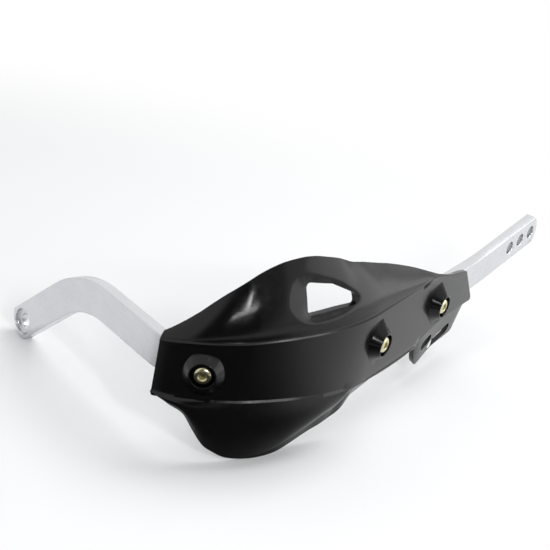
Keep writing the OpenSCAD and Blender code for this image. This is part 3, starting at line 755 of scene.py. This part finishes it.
def screwTree():
    tree, given = newTree("buttonHeadScrew", [
        ("Head Radius", "NodeSocketFloat"), ("Head Height", "NodeSocketFloat"), ("Rim Height", "NodeSocketFloat"),
        ("Crown Radius", "NodeSocketFloat"), ("Socket Radius", "NodeSocketFloat"),
        ("Socket Depth", "NodeSocketFloat"), ("Shank Radius", "NodeSocketFloat"),
        ("Shank Length", "NodeSocketFloat"), ("Material", "NodeSocketMaterial")])
    place = addNode(tree, "GeometryNodeInputPosition")
    split = addNode(tree, "ShaderNodeSeparateXYZ", {"Vector": place.outputs["Position"]})
    flat = addNode(tree, "ShaderNodeCombineXYZ", {"X": split.outputs["X"], "Y": split.outputs["Y"]})
    away = addNode(tree, "ShaderNodeVectorMath", {0: flat.outputs["Vector"]}, operation="LENGTH")
    # what follows from the inputs and from a point's place, each line named and worked out from those above it
    g = dict(given.outputs.items(), Radius=away.outputs["Value"], Height=split.outputs["Z"])
    for name, kind, a, b in (
            ("Half Rim", "MULTIPLY", "Rim Height", 0.5),
            ("Past Crown", "SUBTRACT", "Radius", "Crown Radius"), ("Outside", "MAXIMUM", "Past Crown", 0),
            ("Dome Width", "SUBTRACT", "Head Radius", "Crown Radius"), ("Part", "DIVIDE", "Outside", "Dome Width"),
            ("Share", "MINIMUM", "Part", 1), ("Share Squared", "MULTIPLY", "Share", "Share"),
            ("Fall", "SUBTRACT", 1, "Share Squared"), ("Safe Fall", "MAXIMUM", "Fall", 0),
            ("Dome", "SQRT", "Safe Fall", 0), ("Dome Height", "SUBTRACT", "Head Height", "Rim Height"),
            ("Rise", "MULTIPLY", "Dome", "Dome Height"), ("Nearly Rim", "MULTIPLY", "Rim Height", 0.99),
            ("On Top", "GREATER_THAN", "Height", "Nearly Rim"), ("Lift", "MULTIPLY", "Rise", "On Top"),
            ("Key Top", "MULTIPLY", "Head Height", 1.5), ("Key Middle", "SUBTRACT", "Key Top", "Socket Depth"),
            ("Mouth Inner", "MULTIPLY", "Socket Radius", screw["mouthInner"]),
            ("Mouth Outer", "MULTIPLY", "Socket Radius", screw["mouthOuter"]),
            ("Mouth Middle", "SUBTRACT", "Head Height", screw["mouthBelow"] * mm),
            ("Shank Middle", "MULTIPLY", "Shank Length", -0.5)):
        step = addNode(tree, "ShaderNodeMath", {0: g.get(a, a), 1: g.get(b, b)}, operation=kind)
        g[name] = step.outputs["Value"]
    lifts = {name: addNode(tree, "ShaderNodeCombineXYZ", {"Z": g[name]}).outputs["Vector"]
             for name in ("Half Rim", "Lift", "Key Middle", "Mouth Middle", "Shank Middle")}
    # head: a cylinder whose top is raised into a dome by its distance from the axis
    blank = addNode(tree, "GeometryNodeMeshCylinder", {
        "Vertices": 96, "Side Segments": 2, "Fill Segments": 24, "Radius": g["Head Radius"],
        "Depth": g["Rim Height"]})
    raised = addNode(tree, "GeometryNodeTransform", {
        "Geometry": blank.outputs["Mesh"], "Translation": lifts["Half Rim"]})
    head = addNode(tree, "GeometryNodeSetPosition", {
        "Geometry": raised.outputs["Geometry"], "Offset": lifts["Lift"]})
    # hexagon socket with a small countersink at its mouth
    hexagon = addNode(tree, "GeometryNodeMeshCylinder", {
        "Vertices": 6, "Radius": g["Socket Radius"], "Depth": g["Head Height"]})
    key = addNode(tree, "GeometryNodeTransform", {
        "Geometry": hexagon.outputs["Mesh"], "Translation": lifts["Key Middle"]})
    mouth = addNode(tree, "GeometryNodeMeshCone", {
        "Vertices": 64, "Depth": screw["mouthThick"] * mm, "Radius Bottom": g["Mouth Inner"],
        "Radius Top": g["Mouth Outer"]})
    sink = addNode(tree, "GeometryNodeTransform", {
        "Geometry": mouth.outputs["Mesh"], "Translation": lifts["Mouth Middle"]})
    cut = addNode(tree, "GeometryNodeMeshBoolean", {
        "Mesh 1": head.outputs["Geometry"], "Mesh 2": [sink.outputs["Geometry"], key.outputs["Geometry"]]},
        operation="DIFFERENCE", solver="EXACT")
    # shank, running down to the bar's back
    rod = addNode(tree, "GeometryNodeMeshCylinder", {
        "Vertices": 64, "Side Segments": 12, "Radius": g["Shank Radius"], "Depth": g["Shank Length"]})
    shank = addNode(tree, "GeometryNodeTransform", {
        "Geometry": rod.outputs["Mesh"], "Translation": lifts["Shank Middle"]})
    whole = addNode(tree, "GeometryNodeJoinGeometry", {
        "Geometry": [cut.outputs["Mesh"], shank.outputs["Geometry"]]})
    endTree(tree, given, whole.outputs["Geometry"])
    return tree


def washerTree():
    tree, given = newTree("seatWasher", [
        ("Outer Radius", "NodeSocketFloat"), ("Bore Radius", "NodeSocketFloat"), ("Thickness", "NodeSocketFloat"),
        ("Edge Radius", "NodeSocketFloat"), ("Material", "NodeSocketMaterial")])
    g = dict(given.outputs.items())
    for name, kind, a, b in (
            ("Both Radii", "ADD", "Outer Radius", "Bore Radius"), ("Middle", "MULTIPLY", "Both Radii", 0.5),
            ("Width", "SUBTRACT", "Outer Radius", "Bore Radius"), ("Half", "MULTIPLY", "Thickness", 0.5)):
        step = addNode(tree, "ShaderNodeMath", {0: g.get(a, a), 1: g.get(b, b)}, operation=kind)
        g[name] = step.outputs["Value"]
    around = addNode(tree, "GeometryNodeCurvePrimitiveCircle", {"Resolution": 96, "Radius": g["Middle"]})
    section = addNode(tree, "GeometryNodeCurvePrimitiveQuadrilateral", {
        "Width": g["Width"], "Height": g["Thickness"]})
    rounded = addNode(tree, "GeometryNodeFilletCurve", {
        "Count": 3, "Curve": section.outputs["Curve"], "Radius": g["Edge Radius"]}, mode="POLY")
    swept = addNode(tree, "GeometryNodeCurveToMesh", {
        "Curve": around.outputs["Curve"], "Profile Curve": rounded.outputs["Curve"]})
    half = addNode(tree, "ShaderNodeCombineXYZ", {"Z": g["Half"]})
    up = addNode(tree, "GeometryNodeTransform", {
        "Geometry": swept.outputs["Mesh"], "Translation": half.outputs["Vector"]})
    endTree(tree, given, up.outputs["Geometry"])
    return tree


# metres
weld = 0.00001


# runs a tree on its points and keeps the plain mesh, with points closer than weld made one
def grown(name, level, tree, values, material, angle):
    o = bossPoints(name, level)
    m = o.modifiers.new(name, "NODES")
    m.node_group = tree
    sockets = {s.name: s.identifier for s in tree.interface.items_tree if s.in_out == "INPUT"}
    for label, value in values.items():
        m[sockets[label]] = value
    m[sockets["Material"]] = material
    applyModifiers(o)
    mesh = bmesh.new()
    mesh.from_mesh(o.data)
    bmesh.ops.remove_doubles(mesh, verts=mesh.verts, dist=weld)
    bmesh.ops.recalc_face_normals(mesh, faces=mesh.faces)
    mesh.to_mesh(o.data)
    mesh.free()
    smoothed(o, angle)
    return o


screwPiece = grown("buttonScrews", headLevel, screwTree(), {
    "Head Radius": screw["head"] / 2 * mm, "Head Height": screw["headHigh"] * mm, "Rim Height": screw["rim"] * mm,
    "Crown Radius": screw["crown"] / 2 * mm, "Socket Radius": screw["socket"] / 2 / math.cos(math.pi / 6) * mm,
    "Socket Depth": screw["socketDeep"] * mm, "Shank Radius": screw["shank"] / 2 * mm,
    "Shank Length": (headLevel + bend["thick"] / 2) * mm}, zinc, screw["smoothAngle"])
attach(screwPiece, "root")
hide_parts("screw_outer", "screw_middle", "screw_inner")

washerPiece = grown("blackWashers", seatLevel, washerTree(), {
    "Outer Radius": boss["washer"] / 2 * mm, "Bore Radius": washer["bore"] / 2 * mm,
    "Thickness": boss["washerThick"] * mm, "Edge Radius": washer["edge"] * mm}, oxide, washer["smoothAngle"])
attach(washerPiece, "root")
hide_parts("washer_outer", "washer_middle", "washer_inner")
print("screws and washers:", len(screwPiece.data.polygons), len(washerPiece.data.polygons), "faces")

# places and distances in metres; the pairs say where a level starts and where it is full
# the dark and glare levels and their places are painted reflections, seen by gloss alone: painted shade in front of
# the guard and a painted highlight at the right
studio = {"floor": "#f4f5f6", "rough": 0.9, "shine": 0.1, "size": 6, "middle": (0.15, -0.05), "cardEnds": (0.3, 0.6),
          "back": 1.0, "fill": 0.55, "paintedDark": 0.04, "paintedDarkAt": (-0.05, -0.45), "paintedDarkFrom": (0.42, 0.3),
          "paintedDarkWay": (-0.3, -0.94, 0.17), "paintedDarkCosine": (0.55, 0.82),
          "paintedGlare": 0.9, "paintedGlareAt": (0.34, -0.2), "paintedGlareFrom": (0.24, 0.06)}


def makeFloor():
    # matt white card: keeps the soft shadow near the object and is plain white further out
    m, t = newMaterial("whiteCard")
    ground = cadBox[0].z
    place = addNode(t, "ShaderNodeTexCoord")
    ray = addNode(t, "ShaderNodeLightPath")
    card = addNode(t, "ShaderNodeBsdfPrincipled", {
        "Base Color": hexColour(studio["floor"]), "Roughness": studio["rough"],
        "Specular IOR Level": studio["shine"]})
    shown = card.outputs["BSDF"]
    # plain white to the camera far out; to gloss alone, a painted dark reflection in front of the guard and a
    # painted highlight, like a lamp's pool, at the right
    for at, (start, full), kind, level in (
            ((0, 0, 0), studio["cardEnds"], "Is Camera Ray", 1),
            ((*studio["paintedDarkAt"], ground), studio["paintedDarkFrom"], "Is Glossy Ray", studio["paintedDark"]),
            ((*studio["paintedGlareAt"], ground), studio["paintedGlareFrom"], "Is Glossy Ray", studio["paintedGlare"])):
        away = addNode(t, "ShaderNodeVectorMath", {0: place.outputs["Object"], 1: at}, operation="DISTANCE")
        part = addNode(t, "ShaderNodeMapRange", {
            "Value": away.outputs["Value"], "From Min": start, "From Max": full}, interpolation_type="SMOOTHSTEP")
        seen = addNode(t, "ShaderNodeMath", {
            0: part.outputs["Result"], 1: ray.outputs[kind]}, operation="MULTIPLY")
        glow = addNode(t, "ShaderNodeEmission", {"Color": (1, 1, 1, 1), "Strength": level})
        both = addNode(t, "ShaderNodeMixShader", {
            0: seen.outputs["Value"], 1: shown, 2: glow.outputs["Emission"]})
        shown = both.outputs["Shader"]
    finishMaterial(t, shown)
    bm = bmesh.new()
    bmesh.ops.create_grid(bm, x_segments=1, y_segments=1, size=studio["size"] / 2,
                          matrix=Matrix.Translation((*studio["middle"], ground)))
    o = meshObject("floor", bm, m)


def makeWorld():
    # a white room all round, with a painted dark reflection on its side in front of the guard, where only gloss
    # shows it
    world = bpy.data.worlds.new("studio")
    bpy.context.scene.world = world
    world.use_nodes = True
    t = world.node_tree
    t.nodes.clear()
    ray = addNode(t, "ShaderNodeLightPath")
    place = addNode(t, "ShaderNodeTexCoord")
    ahead = addNode(t, "ShaderNodeVectorMath", {
        0: place.outputs["Generated"], 1: studio["paintedDarkWay"]}, operation="DOT_PRODUCT")
    gloss = addNode(t, "ShaderNodeMapRange", {
        "Value": ahead.outputs["Value"], "From Min": studio["paintedDarkCosine"][0], "From Max": studio["paintedDarkCosine"][1],
        "To Min": studio["back"], "To Max": studio["paintedDark"]}, interpolation_type="SMOOTHSTEP")
    seen = addNode(t, "ShaderNodeMath", {
        0: ray.outputs["Is Camera Ray"], 1: ray.outputs["Is Transmission Ray"]}, operation="MAXIMUM")
    plain = addNode(t, "ShaderNodeMapRange", {
        "Value": seen.outputs["Value"], "To Min": studio["fill"], "To Max": studio["back"]})
    level = addNode(t, "ShaderNodeMix", {
        "Factor": ray.outputs["Is Glossy Ray"], "A": plain.outputs["Result"], "B": gloss.outputs["Result"]},
        data_type="FLOAT")
    sky = addNode(t, "ShaderNodeBackground", {"Color": (1, 1, 1, 1), "Strength": level.outputs["Result"]})
    addNode(t, "ShaderNodeOutputWorld", {"Surface": sky.outputs["Background"]})


def softBox(name, at, aim, size, power):
    lamp = bpy.data.lights.new(name, "AREA")
    lamp.shape, lamp.size, lamp.size_y, lamp.energy = "RECTANGLE", size[0], size[1], power
    o = bpy.data.objects.new(name, lamp)
    bpy.context.scene.collection.objects.link(o)
    o.location = at
    o.rotation_euler = (Vector(aim) - Vector(at)).to_track_quat("-Z", "Y").to_euler()


makeFloor()
makeWorld()
softBox("topBox", (0.6, 0.05, 1.2), (0.15, -0.05, 0.04), (0.7, 0.9), 7)
softBox("rightBox", (1.4, -0.4, 0.4), (0.15, -0.05, 0.04), (1.2, 0.8), 3)
softBox("windowBox", (0.0, -1.18, 0.76), (0.07, -0.12, 0.045), (0.07, 0.2), 2.6)
softBox("longBox", (-0.05, -1.2, 0.62), (0.07, -0.12, 0.045), (0.8, 0.04), 3)
softBox("glintHigh", (0.67, -0.29, 1.1), (0.05, -0.13, 0.04), (0.05, 0.3), 0.5)

view = {"at": (-0.24326, -0.70327, 0.37207), "right": (0.88985, -0.41513, 0.1892), "up": (0.01126, 0.4345, 0.9006),
        "back": (-0.45608, -0.79925, 0.3913), "lens": 89.22, "sensor": 36, "near": 0.01}
camera = bpy.data.cameras.new("camera")
camera.lens, camera.sensor_width, camera.clip_start = view["lens"], view["sensor"], view["near"]
eye = bpy.data.objects.new("camera", camera)
bpy.context.scene.collection.objects.link(eye)
turn = Matrix((view["right"], view["up"], view["back"])).transposed()
eye.location, eye.rotation_euler = view["at"], turn.to_euler()
bpy.context.scene.camera = eye
bpy.context.scene.view_settings.view_transform = "Standard"
print("studio ready")
